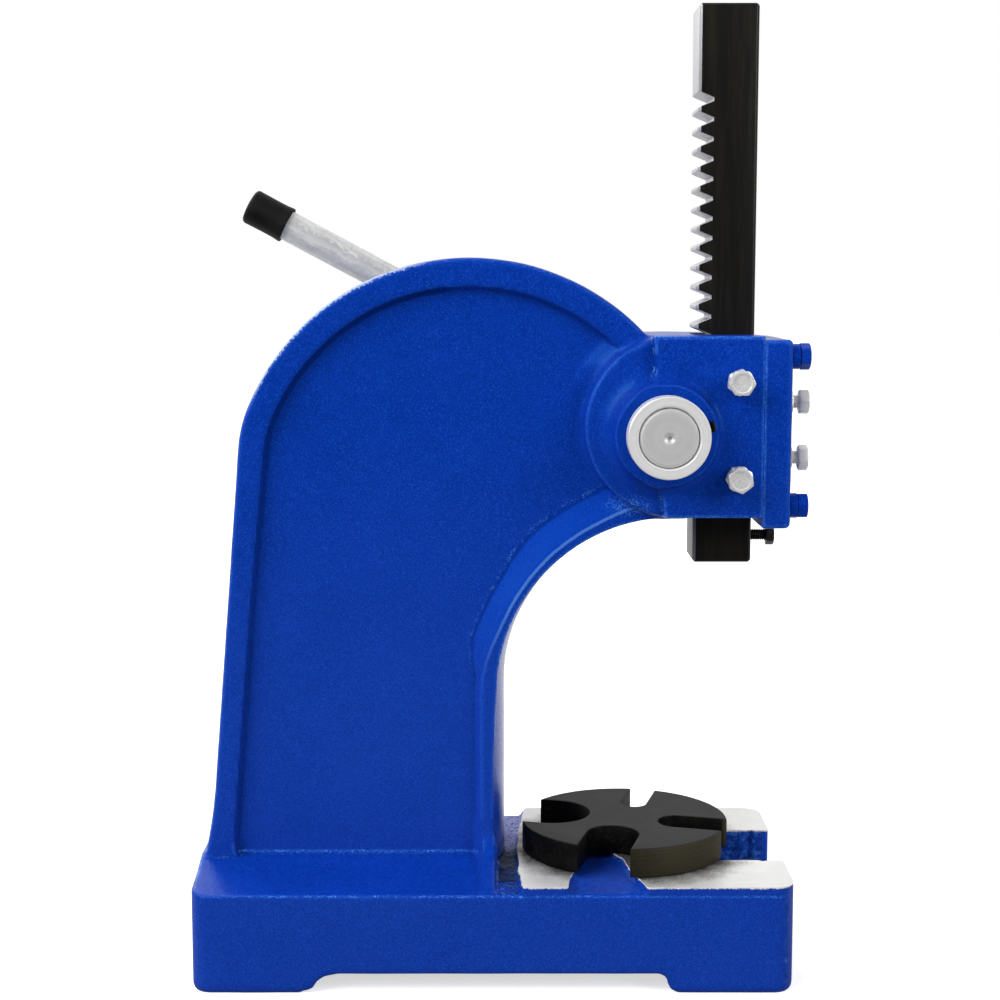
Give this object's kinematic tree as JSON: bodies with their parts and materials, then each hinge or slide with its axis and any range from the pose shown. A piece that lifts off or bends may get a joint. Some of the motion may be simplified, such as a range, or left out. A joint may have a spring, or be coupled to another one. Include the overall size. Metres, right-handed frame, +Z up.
{
  "type": "arbor press",
  "caption": "Bench arbor press: cast C frame, toothed square ram driven by a pinion and sliding lever, slotted turning anvil plate on a forked base.",
  "frame": {"origin": "bottom centre of the bounding box at rest, on the bench", "axes": "+X front of the press where the ram slides, +Y the side with the lever, +Z up"},
  "size_m": [0.2654, 0.1422, 0.4145],
  "materials": {
    "painted_casting": "glossy blue enamel over a rough casting",
    "painted_hardware": "glossy blue enamel over hexagon bolts and washers",
    "bright_hardware": "bright plated steel",
    "gib_brass": "plain machined brass",
    "blackened_ram": "blackened steel, ground and oiled, worn on the rack",
    "black_screw": "black oxide steel",
    "machined_shaft": "turned steel with fine machining marks",
    "plated_lever": "satin plated steel bar",
    "cap_rubber": "matt black rubber",
    "blackened_plate": "blackened plate with a ground top"
  },
  "bodies": {
    "press_body": {"frame_casting": "painted_casting", "front_cover_plate": "painted_casting", "cover_bolt_near_upper": "painted_hardware", "cover_washer_near_upper": "painted_hardware", "cover_bolt_near_lower": "painted_hardware", "cover_washer_near_lower": "painted_hardware", "cover_bolt_far_upper": "painted_hardware", "cover_washer_far_upper": "painted_hardware", "cover_bolt_far_lower": "painted_hardware", "cover_washer_far_lower": "painted_hardware", "front_adjusting_screw_upper": "bright_hardware", "front_adjusting_screw_lower": "bright_hardware", "front_lock_nut_upper": "bright_hardware", "front_lock_nut_lower": "bright_hardware", "side_adjusting_screw_upper": "bright_hardware", "side_adjusting_screw_lower": "bright_hardware", "side_lock_nut_upper": "bright_hardware", "side_lock_nut_lower": "bright_hardware", "side_gib": "gib_brass", "front_gib": "gib_brass", "anvil_pivot_pin": "bright_hardware"},
    "ram_bar": {"ram": "blackened_ram", "ram_stop_screw": "black_screw"},
    "pinion": {"pinion_shaft": "machined_shaft", "shaft_collar": "machined_shaft", "collar_set_screw": "black_screw"},
    "lever": {"lever_bar": "plated_lever", "lever_cap_long": "cap_rubber", "lever_cap_short": "cap_rubber"},
    "anvil": {"anvil_plate": "blackened_plate"}
  },
  "joints": [
    {"name": "pinion_turn", "type": "hinge", "parent": "press_body", "child": "pinion", "pos_m": [0.06749, -0.01415, 0.2347], "axis": [0, 1, 0], "range_deg": [-7.3, 391.5]},
    {"name": "ram_slide", "type": "slide", "parent": "press_body", "child": "ram_bar", "axis": [0, 0, 1], "range_m": [-0.1173, 0.0022]},
    {"name": "lever_slide", "type": "slide", "parent": "pinion", "child": "lever", "axis": [-0.8829, 0, 0.4695], "range_m": [-0.168, 0.0235]},
    {"name": "plate_turn", "type": "hinge", "parent": "press_body", "child": "anvil", "pos_m": [0.0537, -0.01415, 0.0468], "axis": [0, 0, 1], "continuous": true}
  ],
  "couplings": [
    {"joint": "ram_slide", "follows": "pinion_turn", "m_per_rad": -0.017142}
  ]
}
